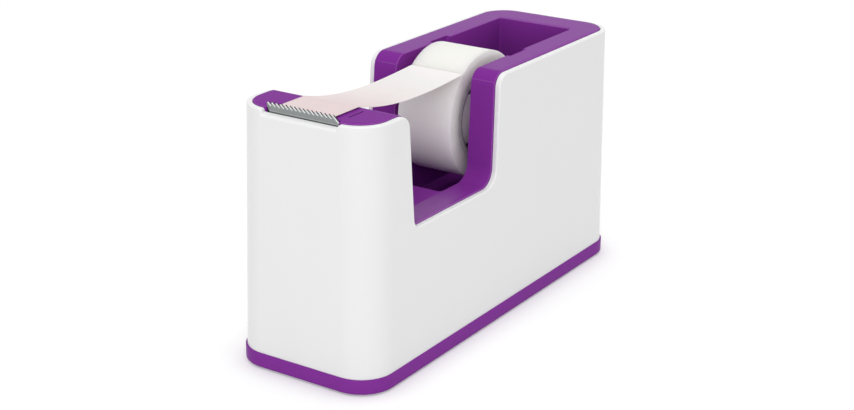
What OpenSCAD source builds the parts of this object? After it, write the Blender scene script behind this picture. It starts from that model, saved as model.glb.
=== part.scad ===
// Desktop tape dispenser with a U-notched body, loaded with one roll of 19 mm tape.
// Width runs along X and length along Y, with the cutter at the -Y end and +Z up.
// The origin is on the desk, under the middle of the base.

/* [Base tray] */
// Width of the base tray
base_w = 51; // [48:0.5:58]
// Length of the base tray
base_l = 147.8; // [144:0.2:156]
// Plan radius of the base tray's corners
base_corner_r = 11; // [9:0.5:13]
// Height of the coloured band that shows under the shell
base_band_h = 4.55; // [3.5:0.05:7]
// Thickness of the base tray's floor
base_floor_t = 2.4; // [1.8:0.1:3]
// Softening of the base tray's edges
base_edge = 0.5; // [0.2:0.1:0.8]
// Height of the locating rim that stands inside the shell
upstand_h = 2.6; // [1.5:0.1:4]
// Thickness of the locating rim
upstand_t = 1.6; // [1.2:0.1:2]

/* [Grip pad] */
// How far the grip pad stands out below the base tray
pad_stand = 0.5; // [0.3:0.1:1.5]
// Thickness of the grip pad
pad_t = 1.5; // [1:0.1:2]
// Distance of the grip pad from the base tray's edge
pad_inset = 2.5; // [1.5:0.1:3]

/* [Outer shell] */
// Height of the shell's top rim above the desk
total_h = 79.8; // [76:0.1:92]
// Wall thickness of the shell
shell_wall = 1.7; // [1.2:0.1:2.2]
// How far the shell stands in from the base tray's edge
shell_inset = 0.5; // [0.2:0.1:1]
// Draft of the shell's side walls, in degrees
side_draft = 0.9; // [0.3:0.1:1.2]
// Draft of the shell's end walls, in degrees
end_draft = 0.9; // [0.3:0.1:1.2]
// Softening of the shell's top rim
rim_round = 0.6; // [0.2:0.1:0.8]
// How far the liner stands proud of the shell along the notched top line
liner_proud = 0.3; // [0.2:0.1:0.6]

/* [Notch] */
// Length of the cutter tower, from the shell's foot to its rear face at the notch floor
tower_l = 23.4; // [20:0.1:26]
// Length of the notch at its floor, from the tower to the front of the reel housing
notch_l = 44.1; // [40:0.1:48]
// Height of the notch floor above the desk
notch_floor_h = 45.7; // [43:0.1:50]
// Slant of the tower's rear face, in degrees
tower_slant = 4; // [1:0.5:6]
// Slant of the reel housing's front faces, in degrees
lip_slant = 3; // [1:0.5:6]
// Radius of the tower's top rear edge
tower_top_r = 4.5; // [3:0.1:6]
// Radius between the tower and the notch floor
tower_foot_r = 2.5; // [1.5:0.1:4]
// Radius between the notch floor and the reel housing
lip_foot_r = 5.5; // [3:0.1:7]
// Radius of the reel housing's top front edge
lip_top_r = 4.7; // [3:0.1:6]

/* [Inner liner] */
// Wall thickness of the liner
liner_wall = 1.6; // [1.2:0.1:2]
// Wall thickness of the reel pocket
tub_wall = 2.6; // [2.3:0.1:3]
// Width of the rim behind the reel pocket
rear_rim = 11.5; // [8:0.1:14]
// How far the well reaches in front of the reel housing
well_reach = 14.5; // [10:0.1:18]
// Plan radius of the reel pocket's corners
pocket_corner_r = 1; // [0.5:0.1:4]
// Height of the liner's lower edge above the desk
skirt_h = 23; // [21:0.5:26]

/* [Reel] */
// Outer diameter of the tape roll
roll_d = 40.6; // [36:0.2:54]
// Largest roll that the well takes
max_roll_d = 57; // [54:0.5:58]
// Width of the tape
tape_w = 19; // [18:0.5:20]
// Inner diameter of the tape core
core_d = 25.4; // [24:0.1:26]
// Wall thickness of the tape core
core_wall = 1.5; // [1:0.1:2]
// Height of the reel's axis above the desk
reel_h = 61.7; // [59:0.1:64]
// Distance of the reel's axis behind the notch floor's rear end
reel_set = 16.7; // [15:0.1:19]
// Diameter of the hub's stub axles
axle_d = 8.2; // [6:0.1:9]
// Lean of the axle slots from upright, in degrees
slot_lean = 31; // [20:1:36]
// Depth of the axle slots in the pocket walls
slot_depth = 1.3; // [1:0.1:1.5]
// Wall thickness of the hub's drum and faces
hub_wall = 1.5; // [1.2:0.1:2]
// Distance of the hub's flats from its axis
hub_flat = 8; // [6:0.5:10]
// Angle of the hub's grip ribs from the middle of its rounded sides, in degrees
grip_spread = 24; // [10:1:30]
// How far the hub's faces lie inside the tape's edges
hub_recess = 0.6; // [0.2:0.1:1.5]

/* [Tape tail] */
// Thickness of the free tape
tail_t = 0.25; // [0.15:0.05:0.4]
// Where the tape peels off the roll, in degrees forward of the top
peel_angle = 39; // [25:1:45]
// Downward slope of the tape where it leaves the roll, in degrees
peel_slope = 4; // [2:1:12]
// Slope of the tape where it reaches the tower, in degrees
landing_slope = 16; // [8:1:22]

/* [Cutter] */
// Number of blade teeth
tooth_count = 16; // [12:1:17]
// Spacing of the blade teeth
tooth_pitch = 1.55; // [1.2:0.05:1.6]
// Height of the blade teeth
tooth_h = 1.4; // [1:0.1:2]
// Where each tooth's tip lies across its spacing, from its steep side
tip_lean = 0.15; // [0.05:0.05:0.5]
// Thickness of the blade
blade_t = 0.7; // [0.4:0.05:0.8]
// Height of the blade below its teeth
blade_body_h = 9; // [7:0.5:12]
// Forward lean of the blade's toothed edge, in degrees
blade_lean = 10; // [0:1:15]
// Height of the leaning band below the teeth
blade_band_h = 0.9; // [0.6:0.1:1.6]
// Depth of the shell's window at the front of its sill
window_d = 1.8; // [1.2:0.1:3]
// How much higher the sill is at the blade than at its front
sill_rise = 0.8; // [0.2:0.1:1]
// Number of ribs that carry the tape behind the blade
landing_ribs = 8; // [4:1:9]
// Spacing of those ribs
rib_pitch = 1; // [0.9:0.05:1.3]

/* [Ballast] */
// Width of the ballast block
ballast_w = 30; // [24:1:32]
// Length of the ballast block
ballast_l = 92; // [70:1:98]
// Height of the ballast block
ballast_h = 18; // [12:0.5:22]

/* [Fixings] */
// Outer radius of the shell's screw bosses
boss_r = 3.6; // [3.2:0.1:4]
// Height of the shell's screw bosses
boss_h = 12; // [10:0.5:12.5]
// Distance of the screws from the middle of the base, along Y
screw_y = 50; // [48:0.5:56]
// Shank diameter of the base screws
screw_d = 2.9; // [2.5:0.1:3.2]
// Head diameter of the base screws
screw_head_d = 5.4; // [5:0.1:5.8]

/* [Hidden] */
$fn = 48;

// Clearances
fit_gap = 0.1;      // between mouldings that slide together
run_gap = 0.15;     // round the stub axles
seat_gap = 0.05;    // under a piece that rests on another
lie_gap = 0.1;      // under the tape where it lies on the ribs
free_gap = 0.3;     // between pieces that move past each other
cut = 1;            // overshoot of every cut

// Heights
base_bottom = pad_stand;
base_top = base_bottom + base_band_h;
tray_floor = base_bottom + base_floor_t;
liner_top = total_h + liner_proud;
boss_bottom = base_top + upstand_h + 2 * fit_gap;
boss_top = boss_bottom + boss_h;
ballast_top = tray_floor + ballast_h;
well_floor = reel_h - max_roll_d / 2 - 2 * free_gap;
tub_bottom = well_floor - liner_wall;

// Shell outline at its foot
shell_w = base_w - 2 * shell_inset;
shell_l = base_l - 2 * shell_inset;
shell_corner_r = base_corner_r - shell_inset;
liner_inset = shell_wall + fit_gap;
corner_steps = 12;

// Places along the length
tower_foot_y = -shell_l / 2 + tower_l;
lip_foot_y = tower_foot_y + notch_l;
reel_y = lip_foot_y + reel_set;
well_front_y = lip_foot_y - well_reach;
liner_rear_y = shell_l / 2 - (liner_top - base_top) * tan(end_draft) - liner_inset;
pocket_rear_y = liner_rear_y - rear_rim;
pocket_l = pocket_rear_y - well_front_y;
pocket_mid_y = (pocket_rear_y + well_front_y) / 2;

// Reel
roll_side_gap = 4.2;
pocket_half = tape_w / 2 + roll_side_gap;
axle_r = axle_d / 2;
slot_r = axle_r + run_gap;
axle_end = pocket_half + slot_depth - free_gap;
roll_r = roll_d / 2;
core_r = core_d / 2 + core_wall;
rib_grip = 0.4;
hub_r = core_d / 2 - rib_grip - fit_gap;
hub_face = tape_w / 2 - hub_recess;
spigot_r = 3;
spigot_l = 6;
socket_wall = 1.6;
axle_chamfer = 0.6;

// Landing ribs and the tape over them
rib_r = 0.4;
rib_rise = 0.25;
rib_margin = 1.2;
liner_front_y = -liner_rear_y;
tail_z = liner_top + rib_rise + lie_gap + tail_t / 2;

// Blade and its seat in the liner's front wall
blade_w = tooth_count * tooth_pitch;
blade_gap = 0.3;
blade_back_y = liner_front_y + blade_t + fit_gap;
valley_rise = 0.15;
blade_valley = liner_top + valley_rise;
blade_bend = blade_valley - blade_band_h * cos(blade_lean);
blade_foot = blade_valley - blade_body_h;
stake_x = blade_w / 3;
stake_r = 1.1;
stake_z = (blade_valley + blade_foot) / 2 - stake_r;
seat_margin = 2;
window_margin = 0.45;
window_w = blade_w + 2 * (blade_gap + window_margin);

// Screws: a pan head in a counterbore under each boss
screw_r = screw_d / 2;
screw_head_r = screw_head_d / 2;
screw_head_h = 1.8;
head_gap = 0.3;
post_wall = 1;
post_r = screw_head_r + head_gap + post_wall;
boss_x = half_w(boss_bottom) - shell_wall - fit_gap - post_r;
head_seat = pad_t + screw_head_h + head_gap;
screw_bite = boss_h - 2;
boss_web = 2;
head_root = 0.5;

// Supports under the liner and round the ballast
prop_l = 8;
prop_y = screw_y - boss_r - prop_l;
ballast_corner_r = 1;
cradle_t = 2;
cradle_h = boss_bottom - free_gap - tray_floor;
hold_down_t = 4;

// Half width and half length of the drafted shell at height z
function half_w(z) = shell_w / 2 - (z - base_top) * tan(side_draft);
function half_l(z) = shell_l / 2 - (z - base_top) * tan(end_draft);

// Rounded rectangle of half sizes hw and hl and corner radius r, as a ring of points at height z
function ring(hw, hl, r, z) = [
    for (k = [0:3], i = [0:corner_steps])
        let (a = 90 * k + 90 * i / corner_steps,
             sx = (k == 0 || k == 3) ? 1 : -1,
             sy = (k < 2) ? 1 : -1)
        [sx * (hw - r) + r * cos(a), sy * (hl - r) + r * sin(a), z]
];
function shell_ring(z, inset) = ring(half_w(z) - inset, half_l(z) - inset, shell_corner_r - inset, z);
function base_ring(z, inset) = ring(base_w / 2 - inset, base_l / 2 - inset, base_corner_r - inset, z);

// Arc that rounds the corner at b between a and c to radius r
function fillet(a, b, c, r, steps = 8) =
    let (u = (a - b) / norm(a - b),
         v = (c - b) / norm(c - b),
         half = acos(u * v) / 2,
         bis = (u + v) / norm(u + v),
         mid = b + bis * r / sin(half),
         p = b + u * r / tan(half) - mid,
         side = sign(u[0] * v[1] - u[1] * v[0]),
         sweep = side * (180 - 2 * half))
    [for (i = [0:steps])
        let (t = -sweep * i / steps)
        mid + [p[0] * cos(t) - p[1] * sin(t), p[0] * sin(t) + p[1] * cos(t)]];

// Top line of the body in the Y-Z plane between the tower and the reel housing, grown outwards by d
function tower_y(z, d) = tower_foot_y - (z - notch_floor_h) * tan(tower_slant) + d / cos(tower_slant);
function lip_y(z, d) = lip_foot_y + (z - notch_floor_h) * tan(lip_slant) - d / cos(lip_slant);
function notch_line(d) =
    let (top = liner_top + d,
         low = notch_floor_h + d,
         a = [tower_y(top, d), top],
         b = [tower_y(low, d), low],
         c = [lip_y(low, d), low],
         e = [lip_y(top, d), top])
    concat(
        fillet([-shell_l, top], a, b, tower_top_r + d),
        fillet(a, b, c, tower_foot_r - d),
        fillet(b, c, e, lip_foot_r - d),
        fillet(c, e, [shell_l, top], lip_top_r + d));

// Centre line of the free tape in the Y-Z plane: a cubic curve to the tower, then flat to the blade
peel_r = roll_r + free_gap + tail_t / 2;
peel_point = [reel_y - peel_r * sin(peel_angle), reel_h + peel_r * cos(peel_angle)];
landing_point = [tower_y(liner_top, 0) - tower_top_r, tail_z];
tail_handle = (peel_point[0] - landing_point[0]) / 3;
tail_in = peel_point - tail_handle * [1, tan(peel_slope)];
tail_out = landing_point + tail_handle * [1, -tan(landing_slope)];
tail_end = [blade_back_y + free_gap, tail_z];
tail_steps = 18;
function tail_curve(t) = pow(1 - t, 3) * peel_point + 3 * pow(1 - t, 2) * t * tail_in
    + 3 * (1 - t) * t * t * tail_out + t * t * t * landing_point;
tail_path = concat([for (i = [0:tail_steps]) tail_curve(i / tail_steps)], [tail_end]);

// Outline of a strip of thickness t along a path
function strip_side(path, off) = [
    for (i = [0:len(path) - 1])
        let (a = path[max(i - 1, 0)],
             b = path[min(i + 1, len(path) - 1)],
             u = (b - a) / norm(b - a))
        path[i] + off * [-u[1], u[0]]
];
function reversed(list) = [for (i = [len(list) - 1:-1:0]) list[i]];

// Solid through a stack of rings
module loft(rings) {
    n = len(rings[0]);
    last = len(rings) - 1;
    polyhedron(
        points = [for (r = rings) each r],
        faces = concat(
            [[for (i = [0:n - 1]) i]],
            [for (j = [0:last - 1], i = [0:n - 1])
                [j * n + i, (j + 1) * n + i, (j + 1) * n + (i + 1) % n, j * n + (i + 1) % n]],
            [[for (i = [n - 1:-1:0]) last * n + i]]));
}

// Y-Z outline extruded across the width
module across(w) {
    rotate([90, 0, 90])
        linear_extrude(height = w, center = true)
            children();
}

module rounded_rect(w, l, r) {
    square([w - 2 * r, l], center = true);
    square([w, l - 2 * r], center = true);
    for (sx = [-1, 1], sy = [-1, 1])
        translate([sx * (w / 2 - r), sy * (l / 2 - r)])
            circle(r = r);
}

module x_cylinder(r, x0, x1) {
    translate([x0, 0, 0])
        rotate([0, 90, 0])
            cylinder(r = r, h = x1 - x0);
}

module at_screws() {
    for (sx = [-1, 1], sy = [-1, 1])
        translate([sx * boss_x, sy * screw_y, 0])
            children();
}

module at_blade_stakes() {
    for (sx = [-1, 1])
        translate([sx * stake_x, blade_back_y, stake_z])
            rotate([90, 0, 0])
                children();
}

// Base tray with its locating rim, screw posts, liner props and ballast cradle
module tray_prop(y) {
    prop_h = skirt_h - seat_gap;
    prop_x = half_w(skirt_h) - liner_inset - liner_wall;
    for (sx = [-1, 1])
        translate([sx * (prop_x + liner_wall / 2) - liner_wall / 2, y - prop_l / 2, tray_floor - fit_gap])
            cube([liner_wall, prop_l, prop_h - tray_floor + fit_gap]);
}

module ballast_cradle() {
    outer_w = ballast_w + 2 * (fit_gap + cradle_t);
    outer_l = ballast_l + 2 * (fit_gap + cradle_t);
    translate([0, 0, tray_floor - fit_gap])
        linear_extrude(height = cradle_h + fit_gap)
            difference() {
                square([outer_w, outer_l], center = true);
                square([ballast_w + 2 * fit_gap, ballast_l + 2 * fit_gap], center = true);
            }
}

module base_tray() {
    rim_out = shell_inset + shell_wall + fit_gap;
    rim_in = rim_out + upstand_t;
    color("rebeccapurple")
        difference() {
            union() {
                difference() {
                    union() {
                        loft([base_ring(base_bottom, base_edge), base_ring(base_bottom + base_edge, 0),
                              base_ring(base_top - base_edge / 2, 0), base_ring(base_top, base_edge / 2)]);
                        loft([base_ring(tray_floor, rim_out), base_ring(base_top + upstand_h, rim_out)]);
                    }
                    loft([base_ring(tray_floor, rim_in), base_ring(base_top + upstand_h + cut, rim_in)]);
                }
                at_screws()
                    translate([0, 0, tray_floor - fit_gap])
                        cylinder(r = post_r, h = boss_bottom - seat_gap - tray_floor + fit_gap);
                for (k = [-1:1])
                    tray_prop(k * prop_y);
                ballast_cradle();
            }
            translate([0, 0, base_bottom - cut])
                linear_extrude(height = pad_t - base_bottom + cut)
                    rounded_rect(base_w - 2 * pad_inset, base_l - 2 * pad_inset, base_corner_r - pad_inset);
            at_screws() {
                translate([0, 0, base_bottom - cut])
                    cylinder(r = screw_r + free_gap, h = boss_top);
                translate([0, 0, base_bottom - cut])
                    cylinder(r = screw_head_r + head_gap, h = head_seat - base_bottom + cut);
            }
        }
}

// Non-slip pad glued into the recess under the base tray
module grip_pad() {
    color("dimgray")
        linear_extrude(height = pad_t - seat_gap)
            rounded_rect(base_w - 2 * (pad_inset + fit_gap), base_l - 2 * (pad_inset + fit_gap),
                         base_corner_r - pad_inset - fit_gap);
}

// Steel weight that lies in the cradle, under the liner's hold-down ribs
module ballast_block() {
    color("slategray")
        translate([0, 0, tray_floor + seat_gap])
            linear_extrude(height = ballast_h - seat_gap)
                rounded_rect(ballast_w, ballast_l, ballast_corner_r);
}

// Four pan-head screws that pull the base tray up to the shell's bosses
module base_screws() {
    color("silver")
        at_screws() {
            translate([0, 0, head_seat - seat_gap - screw_head_h])
                cylinder(r = screw_head_r, h = screw_head_h);
            translate([0, 0, head_seat - seat_gap - head_root])
                cylinder(r = screw_r, h = boss_bottom + screw_bite - head_seat + head_root);
        }
}

// Drafted white sleeve with a U notch through both side walls and a window for the blade
module notch_void(d) {
    line = notch_line(d);
    high = total_h + 2 * cut;
    across(base_w + 2 * cut)
        polygon(concat(line, [[line[len(line) - 1][0], high], [line[0][0], high]]));
}

module blade_window() {
    front = -half_l(total_h);
    low = total_h - window_d;
    across(window_w)
        polygon([
            [front - cut, low], [front, low], [front + shell_wall, low + sill_rise],
            [blade_back_y, low + sill_rise], [blade_back_y, total_h + cut], [front - cut, total_h + cut]
        ]);
}

module shell_bosses() {
    at_screws()
        translate([0, 0, boss_bottom])
            cylinder(r = boss_r, h = boss_h);
    for (sx = [-1, 1], sy = [-1, 1])
        translate([sx * (boss_x + base_w / 4), sy * screw_y, boss_bottom + boss_h / 2])
            cube([base_w / 2, boss_web, boss_h], center = true);
}

module outer_shell() {
    color("whitesmoke")
        difference() {
            union() {
                difference() {
                    loft([shell_ring(base_top, 0), shell_ring(total_h - rim_round, 0),
                          shell_ring(total_h, rim_round)]);
                    loft([shell_ring(base_top - cut, shell_wall), shell_ring(total_h + cut, shell_wall)]);
                }
                intersection() {
                    shell_bosses();
                    loft([shell_ring(base_top, shell_wall / 2), shell_ring(total_h, shell_wall / 2)]);
                }
            }
            notch_void(-liner_proud);
            blade_window();
            at_screws()
                translate([0, 0, boss_bottom - cut])
                    cylinder(r = screw_r + seat_gap, h = screw_bite + cut + free_gap);
        }
}

// U-shaped inner moulding: tower top, notch floor, reel housing and the well for the roll
module under_line(d) {
    low = base_bottom;
    across(base_w)
        polygon(concat([[-shell_l, low], [-shell_l, liner_top + d]], notch_line(d),
                       [[shell_l, liner_top + d], [shell_l, low]]));
}

module liner_skin() {
    difference() {
        intersection() {
            loft([shell_ring(skirt_h, liner_inset), shell_ring(liner_top + cut, liner_inset)]);
            under_line(0);
        }
        intersection() {
            loft([shell_ring(skirt_h - cut, liner_inset + liner_wall),
                  shell_ring(liner_top, liner_inset + liner_wall)]);
            under_line(-liner_wall);
        }
    }
}

module reel_tub() {
    intersection() {
        translate([0, pocket_mid_y, tub_bottom])
            linear_extrude(height = liner_top + cut - tub_bottom)
                rounded_rect(2 * (pocket_half + tub_wall), pocket_l + 2 * tub_wall,
                             pocket_corner_r + tub_wall);
        under_line(0);
    }
}

module axle_slot(side) {
    reach = (total_h - reel_h) / cos(slot_lean) + slot_r;
    x0 = pocket_half - cut;
    translate([0, reel_y, reel_h])
        rotate([-slot_lean, 0, 0])
            mirror([side < 0 ? 1 : 0, 0, 0]) {
                x_cylinder(slot_r, x0, pocket_half + slot_depth);
                translate([x0, -slot_r, 0])
                    cube([slot_depth + cut, 2 * slot_r, reach]);
            }
}

module hold_down_ribs() {
    rib_h = tub_bottom - ballast_top - 2 * fit_gap;
    for (sy = [-1, 1])
        translate([0, pocket_mid_y + sy * pocket_l / 5, ballast_top + 2 * fit_gap])
            translate([-ballast_w / 2, -hold_down_t / 2, 0])
                cube([ballast_w, hold_down_t, rib_h + fit_gap]);
}

module landing() {
    for (i = [0:landing_ribs - 1])
        translate([0, landing_point[0] - rib_margin - i * rib_pitch, liner_top + rib_rise - rib_r])
            x_cylinder(rib_r, -blade_w / 2, blade_w / 2);
}

module inner_liner() {
    color("mediumpurple")
        difference() {
            union() {
                liner_skin();
                reel_tub();
                hold_down_ribs();
                landing();
                blade_seat_wall();
            }
            translate([0, pocket_mid_y, well_floor])
                linear_extrude(height = total_h)
                    rounded_rect(2 * pocket_half, pocket_l, pocket_corner_r);
            axle_slot(-1);
            axle_slot(1);
            blade_recess();
        }
    color("mediumpurple")
        at_blade_stakes()
            translate([0, 0, -liner_wall / 2])
                cylinder(r = stake_r, h = blade_t + liner_wall / 2);
}

// Thickened front wall behind the blade, and the shallow recess that holds it
module blade_seat_wall() {
    seat_h = liner_top - blade_foot + seat_margin;
    translate([-blade_w / 2 - seat_margin, blade_back_y, liner_top - seat_h])
        cube([blade_w + 2 * seat_margin, liner_wall, seat_h - liner_wall / 2]);
}

module blade_recess() {
    recess_w = blade_w + 2 * blade_gap;
    recess_d = liner_wall + cut;
    translate([-recess_w / 2, blade_back_y - recess_d, blade_foot - blade_gap])
        cube([recess_w, recess_d, total_h]);
}

// Serrated steel strip, staked to the liner's front wall: a bent plate trimmed to the toothed outline
module cutter_blade() {
    reach = blade_band_h + tooth_h + cut;
    back = blade_back_y - seat_gap;
    bent = [[back, blade_foot - cut], [back, blade_bend],
            [back - reach * sin(blade_lean), blade_bend + reach * cos(blade_lean)]];
    teeth = [
        for (i = [0:tooth_count - 1])
            each [[-blade_w / 2 + (i + tip_lean) * tooth_pitch, blade_valley + tooth_h],
                  [-blade_w / 2 + (i + 1) * tooth_pitch, blade_valley]]
    ];
    color("lightgray")
        difference() {
            intersection() {
                across(blade_w + 2 * cut)
                    polygon(concat(bent, reversed(strip_side(bent, blade_t))));
                rotate([90, 0, 0])
                    linear_extrude(height = base_l)
                        polygon(concat([[blade_w / 2, blade_foot], [-blade_w / 2, blade_foot],
                                        [-blade_w / 2, blade_valley]], teeth));
            }
            at_blade_stakes()
                translate([0, 0, -cut])
                    cylinder(r = stake_r + fit_gap, h = blade_t + 2 * cut);
        }
}

// Hub halves: a drum cut to two flats, with a face and a stub axle each, plugged together inside the core
module hub_half() {
    intersection() {
        union() {
            hub_turning();
            hub_grips();
        }
        translate([0, -hub_r - cut, -hub_flat])
            cube([axle_end + cut, 2 * (hub_r + cut), 2 * hub_flat]);
    }
}

module hub_turning() {
    rotate([0, 90, 0])
        rotate_extrude()
            polygon([
                [spigot_r + seat_gap, fit_gap],
                [spigot_r + socket_wall, fit_gap],
                [spigot_r + socket_wall, hub_face - hub_wall],
                [hub_r - hub_wall, hub_face - hub_wall],
                [hub_r - hub_wall, fit_gap],
                [hub_r, fit_gap],
                [hub_r, hub_face - axle_chamfer],
                [hub_r - axle_chamfer, hub_face],
                [axle_r, hub_face],
                [axle_r, axle_end - axle_chamfer],
                [axle_r - axle_chamfer, axle_end],
                [0, axle_end],
                [0, hub_face - hub_wall],
                [spigot_r + seat_gap, hub_face - hub_wall]
            ]);
}

module hub_grips() {
    for (a = [90, 270], side = [-1, 1])
        rotate([a + side * grip_spread, 0, 0])
            translate([0, 0, hub_r - rib_grip])
                x_cylinder(2 * rib_grip, fit_gap, hub_face - 2 * axle_chamfer);
}

module at_reel() {
    translate([0, reel_y, reel_h])
        children();
}

module hub_right() {
    color("gainsboro")
        at_reel()
            hub_half();
}

module hub_left() {
    color("gainsboro")
        at_reel() {
            mirror([1, 0, 0])
                hub_half();
            x_cylinder(spigot_r, hub_wall - hub_face - fit_gap, spigot_l);
            x_cylinder(spigot_r + socket_wall / 2, hub_wall - hub_face - fit_gap, -fit_gap);
        }
}

// Plastic core ring that the tape is wound on
module tape_core() {
    color("white")
        at_reel()
            difference() {
                x_cylinder(core_r, -tape_w / 2, tape_w / 2);
                x_cylinder(core_d / 2, -tape_w / 2 - cut, tape_w / 2 + cut);
            }
}

// Wound tape, its turns pressed into one ring
module tape_winding() {
    color("ghostwhite")
        at_reel()
            difference() {
                x_cylinder(roll_r, -tape_w / 2, tape_w / 2);
                x_cylinder(core_r + seat_gap, -tape_w / 2 - cut, tape_w / 2 + cut);
            }
}

// Free tape from the roll, sagging over the notch and lying on the tower's ribs
module tape_tail() {
    color("lavenderblush")
        across(tape_w)
            polygon(concat(strip_side(tail_path, tail_t / 2), reversed(strip_side(tail_path, -tail_t / 2))));
}

base_tray();
grip_pad();
ballast_block();
base_screws();
outer_shell();
inner_liner();
cutter_blade();
hub_left();
hub_right();
tape_core();
tape_winding();
tape_tail();
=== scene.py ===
"""Desktop tape dispenser: white drafted sleeve, purple liner and base, steel cutter and one roll of tape."""

import bmesh
import bpy
import numpy as np
from mathutils import Matrix


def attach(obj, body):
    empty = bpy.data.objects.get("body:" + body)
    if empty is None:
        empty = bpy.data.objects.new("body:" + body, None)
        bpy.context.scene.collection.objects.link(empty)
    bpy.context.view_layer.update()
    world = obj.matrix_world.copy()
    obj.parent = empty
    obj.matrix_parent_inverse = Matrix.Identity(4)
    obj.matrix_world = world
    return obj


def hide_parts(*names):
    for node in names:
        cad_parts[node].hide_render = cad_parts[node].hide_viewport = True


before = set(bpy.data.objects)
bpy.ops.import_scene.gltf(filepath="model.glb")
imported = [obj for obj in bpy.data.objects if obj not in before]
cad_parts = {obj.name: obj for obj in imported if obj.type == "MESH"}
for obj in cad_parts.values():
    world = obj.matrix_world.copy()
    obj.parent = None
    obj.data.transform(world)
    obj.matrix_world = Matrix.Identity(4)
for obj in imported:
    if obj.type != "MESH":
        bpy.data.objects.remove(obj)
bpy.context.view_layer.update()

MM = 0.001

# Sizes in millimetres: shell and base tray
SHELL_W, SHELL_L, SHELL_R = 50.0, 146.8, 10.5
SHELL_FOOT, SHELL_TOP, SHELL_WALL = 5.05, 79.8, 1.7
LEAN_W = LEAN_L = np.tan(np.radians(0.9))
RIM_OUT, RIM_IN, WINDOW_FOOT_R, WINDOW_TOP_R = 0.5, 0.2, 0.4, 1.0
WINDOW_HALF, WINDOW_FLARE, SILL_FRONT, SILL_RISE = 12.9, 0.4, 78.0, 0.8
BASE_W, BASE_L, BASE_R, BASE_BOTTOM, BASE_TOP = 51.0, 147.8, 11.0, 0.5, 5.05
BASE_FOOT_R, BASE_TOP_R, PAD_INSET, PAD_CEILING, TRAY_FLOOR = 0.5, 0.3, 2.5, 1.5, 2.9
UPSTAND_OUT, UPSTAND_IN, UPSTAND_H = 2.3, 3.9, 2.6

# Notch, liner and well
TOWER_FOOT_Y, LIP_FOOT_Y, NOTCH_FLOOR = -50.0, -5.9, 45.7
TOWER_SLANT, LIP_SLANT = np.radians([4.0, 3.0])
TOWER_TOP_R, TOWER_FOOT_R, LIP_FOOT_R, LIP_TOP_R = 4.5, 2.5, 5.5, 4.7
LINER_PROUD, LINER_TOP, LINER_INSET, LINER_SKIRT = 0.3, 80.1, 1.8, 23.0
POCKET_HALF, POCKET_R, LINER_SOFT, POCKET_SOFT, CREASE_RISE = 13.7, 1.0, 0.3, 0.35, 0.12
WELL_FRONT_Y, POCKET_REAR_Y, WELL_FLOOR = -20.4, 58.92, 32.6
SLOT_R, SLOT_DEPTH, SLOT_LEAN, SLOT_REACH = 4.25, 1.3, np.radians(31.0), 30.0

# Reel and free tape
REEL_Y, REEL_Z = 10.8, 61.7
ROLL_R, CORE_R, CORE_BORE, TAPE_HALF, ROLL_SOFT, CORE_SOFT = 20.3, 14.2, 12.7, 9.5, 0.12, 0.25
HUB_R, HUB_FACE, HUB_FLAT, AXLE_R, AXLE_END = 12.2, 8.9, 8.0, 4.1, 14.7
PEEL_ANGLE, PEEL_SLOPE, LANDING_SLOPE = np.radians([39.0, 4.0, 16.0])
LANDING_Y, TAIL_Z, TAIL_END_Y, TAIL_T, TAIL_FEATHER = -56.9, 80.575, -69.32, 0.12, 12.0

# Cutter blade and landing ribs; HEEL and TOOTH_BACK are in plate thicknesses in front of the back face. Below
# BLADE_DARK and behind HEEL the blade is painted dark as shade
BLADE_HALF, BLADE_STEP, BLADE_T, BLADE_LEAN = 12.3, 0.58, 0.7, np.radians(10.0)
BLADE_BACK_Y, BLADE_FOOT, BLADE_DARK, BLADE_BEND, BLADE_VALLEY = -69.67, 71.25, 79.02, 79.36, 80.25
TEETH, TEETH_FROM, TOOTH_PITCH, TOOTH_H, TIP_LEAN = 16, -12.25, 1.489, 1.4, 0.15
HEEL, TOOTH_BACK = 0.13, -0.5
RECESS_FOOT, RECESS_TOP, RECESS_FRONT, RECESS_BACK, RECESS_SIDE = 71.0, 84.0, -75.0, 0.45, 0.3
RIBS, RIB_FIRST, RIB_PITCH, RIB_R, RIB_RISE, RIB_END, RIB_TIP = 8, 2.1, 0.87, 0.35, 0.25, 12.4, 0.21

# Amounts of clear coat, and where it ends on the notch floor
STRIP_POLISH, RIM_POLISH, BASE_POLISH = 1.0, 0.18, 0.12
POLISH_END, POLISH_FADE = -14.0, 14.0

# Grids: straight part of the sides, ends of the inner spines, where the ends of the arcs are ruled to at the foot,
# and how far before the well the liner's rows begin to bend
SIDE_KEEP, SPINE_Y, WELL_SPINE = 57.0, 50.0, 5.0
FAN_Y = (-60.5, -58.5, -52.0, -48.3, -12.0, -4.5, 1.5, 5.0)
WELL_FAN_Y = (-11.5, -4.5, 1.5, 5.0)
WINDOW_FAN = (-2.5, -1.2, 0.8, 2.2)
BEND_RUN = 5.5


def arc(a, b, c, r, n=12):
    """Arc of radius r that rounds the corner at b between a and c.

    Its centre is on the corner's bisector, r / sin(half the corner) from b.
    """
    a, b, c = (np.asarray(p, float) for p in (a, b, c))
    u, v = (a - b) / np.linalg.norm(a - b), (c - b) / np.linalg.norm(c - b)
    half = np.arccos(u @ v) / 2
    mid = b + (u + v) / np.linalg.norm(u + v) * r / np.sin(half)
    start, end = b + u * r / np.tan(half) - mid, b + v * r / np.tan(half) - mid
    first = np.arctan2(start[1], start[0])
    turn = np.angle(np.exp(1j * (np.arctan2(end[1], end[0]) - first)))
    t = first + turn * np.linspace(0, 1, n + 1)
    return mid + r * np.column_stack([np.cos(t), np.sin(t)])


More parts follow.
